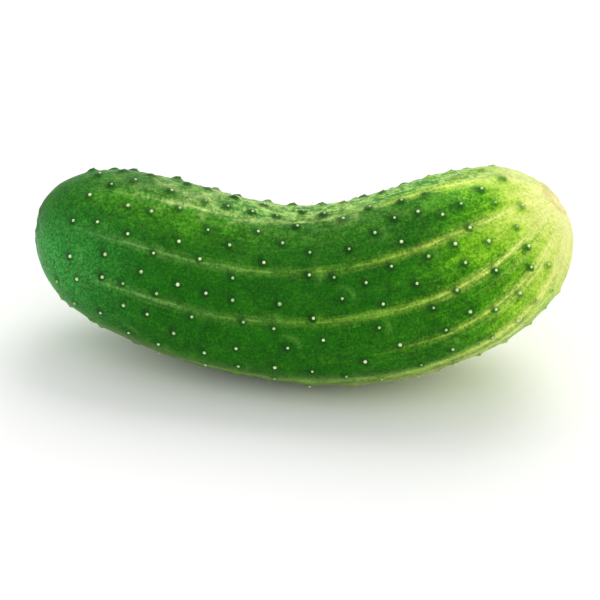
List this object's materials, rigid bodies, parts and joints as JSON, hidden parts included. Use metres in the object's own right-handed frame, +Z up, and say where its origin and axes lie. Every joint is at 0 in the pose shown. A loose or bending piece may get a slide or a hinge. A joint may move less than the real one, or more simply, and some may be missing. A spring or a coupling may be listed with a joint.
{
  "type": "cucumber",
  "caption": "Short curved cucumber with a rounded three-sided section, blunt ends, small spiny knobs and pale stripes, lying on its belly",
  "frame": {"origin": "bottom centre of the bounding box, on the table under the fruit as it rests", "axes": "+X runs from the stem end to the blossom end, -Y is the front with the fuller side of the section, +Z is up; the hollow side of the bend looks up and back"},
  "size_m": [0.14, 0.053, 0.0577],
  "materials": {
    "cucumber_skin": "satin, waxy"
  },
  "bodies": {
    "root": {"cucumber": "cucumber_skin"}
  },
  "joints": []
}
